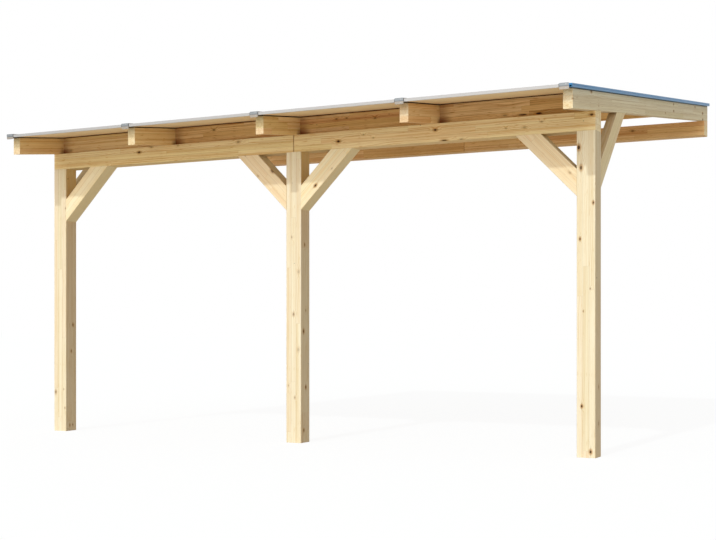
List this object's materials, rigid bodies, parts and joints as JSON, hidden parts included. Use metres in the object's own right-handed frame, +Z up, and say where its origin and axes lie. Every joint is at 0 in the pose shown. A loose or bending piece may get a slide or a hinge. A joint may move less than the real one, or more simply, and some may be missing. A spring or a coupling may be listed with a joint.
{
  "type": "patio cover",
  "caption": "Lean-to patio cover: glulam posts with 45-degree braces, a front beam, sloping rafters and twin-wall sheets under aluminium bars, fixed to a wall at the back.",
  "frame": {"origin": "centre of the wall beam's back face, which lies against the house wall; the ground under the posts is 2.478 m below it", "axes": "+X along the wall to the right, seen from the garden; +Y into the wall; +Z up"},
  "size_m": [4.38, 3.6999, 2.6937],
  "materials": {
    "glulam": "planed",
    "rubber_seal": "matte",
    "twin_wall_sheet": "glossy",
    "aluminium": "mill finish",
    "edge_channel": "satin",
    "side_trim": "satin"
  },
  "bodies": {
    "root": {"post_left": "glulam", "post_middle": "glulam", "post_right": "glulam", "front_beam_left": "glulam", "front_beam_right": "glulam", "front_brace_1": "glulam", "front_brace_2": "glulam", "front_brace_3": "glulam", "front_brace_4": "glulam", "back_brace_left": "glulam", "back_brace_right": "glulam", "wall_beam_left": "glulam", "wall_beam_right": "glulam", "rafter_1": "glulam", "rafter_2": "glulam", "rafter_3": "glulam", "rafter_4": "glulam", "rafter_5": "glulam", "blocking_1": "glulam", "blocking_2": "glulam", "blocking_3": "glulam", "blocking_4": "glulam", "rubber_bed_1": "rubber_seal", "rubber_bed_2": "rubber_seal", "rubber_bed_3": "rubber_seal", "rubber_bed_4": "rubber_seal", "rubber_bed_5": "rubber_seal", "foam_seals": "rubber_seal", "roof_sheet_1": "twin_wall_sheet", "roof_sheet_2": "twin_wall_sheet", "roof_sheet_3": "twin_wall_sheet", "roof_sheet_4": "twin_wall_sheet", "cover_bar_1": "aluminium", "cover_bar_2": "aluminium", "cover_bar_3": "aluminium", "cover_bar_4": "aluminium", "cover_bar_5": "aluminium", "bar_end_caps": "aluminium", "front_edge_1": "edge_channel", "front_edge_2": "edge_channel", "front_edge_3": "edge_channel", "front_edge_4": "edge_channel", "rear_edges": "edge_channel", "side_trim_left": "side_trim", "side_trim_right": "side_trim"}
  },
  "joints": []
}
